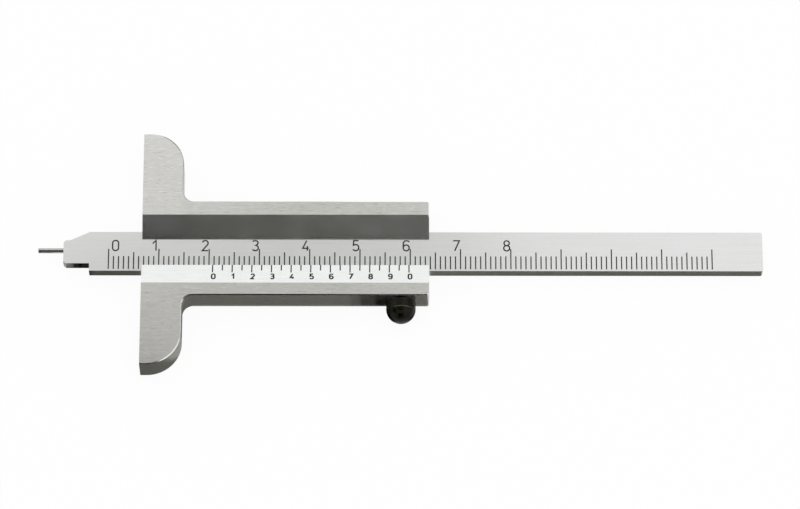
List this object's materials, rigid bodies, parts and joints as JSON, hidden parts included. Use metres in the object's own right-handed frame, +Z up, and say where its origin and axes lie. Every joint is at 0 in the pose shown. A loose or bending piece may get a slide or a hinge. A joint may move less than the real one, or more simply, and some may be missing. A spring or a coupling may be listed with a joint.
{
  "type": "depth gauge",
  "caption": "Small vernier depth gauge: a T-shaped bridge and slider with a spring-loaded lock button, on a graduated flat beam that ends in a thin round measuring pin.",
  "frame": {"origin": "on the bridge's reference face, at mid-width of the bridge, on the plane that the gauge lies on", "axes": "+X along the beam away from the measuring pin, +Y across the beam, away from the lock button, +Z up to the side with the scales; the pin measures along -X"},
  "size_m": [0.1442, 0.05, 0.006],
  "materials": {
    "ground_steel": "ground along the beam, satin",
    "satin_steel": "satin chromed, graduated",
    "hardened_steel": "hardened and ground",
    "screw_steel": "turned",
    "spring_steel": "drawn wire",
    "gib_brass": "drawn strip",
    "blackened_steel": "blackened, slightly glossy"
  },
  "bodies": {
    "slider": {"frame": "ground_steel", "gib_strip": "gib_brass", "gib_screws": "screw_steel", "lever_pivot_pin": "hardened_steel", "clamp_spring": "spring_steel", "lock_cover": "ground_steel", "lock_cover_screws": "screw_steel"},
    "rule": {"beam": "satin_steel", "measuring_pin": "hardened_steel", "pin_set_screw": "blackened_steel", "end_stop_screw": "screw_steel"},
    "button": {"lock_button": "blackened_steel", "button_cross_pin": "hardened_steel"},
    "lever": {"clamp_lever": "hardened_steel"}
  },
  "joints": [
    {"name": "beam_slide", "type": "slide", "parent": "slider", "child": "rule", "axis": [-1, 0, 0], "range_m": [-0.02075, 0.05925]},
    {"name": "button_press", "type": "slide", "parent": "slider", "child": "button", "axis": [0, 1, 0], "range_m": [0, 0.0004], "stiffness_N_per_m": 800, "springref_m": -0.001},
    {"name": "lever_rock", "type": "hinge", "parent": "slider", "child": "lever", "pos_m": [0.0465, -0.00615, 0.00295], "axis": [0, 0, 1], "range_deg": [0, 4.6], "deforming": ["clamp_spring"]}
  ],
  "couplings": [
    {"joint": "lever_rock", "follows": "button_press", "rad_per_m": 200}
  ]
}
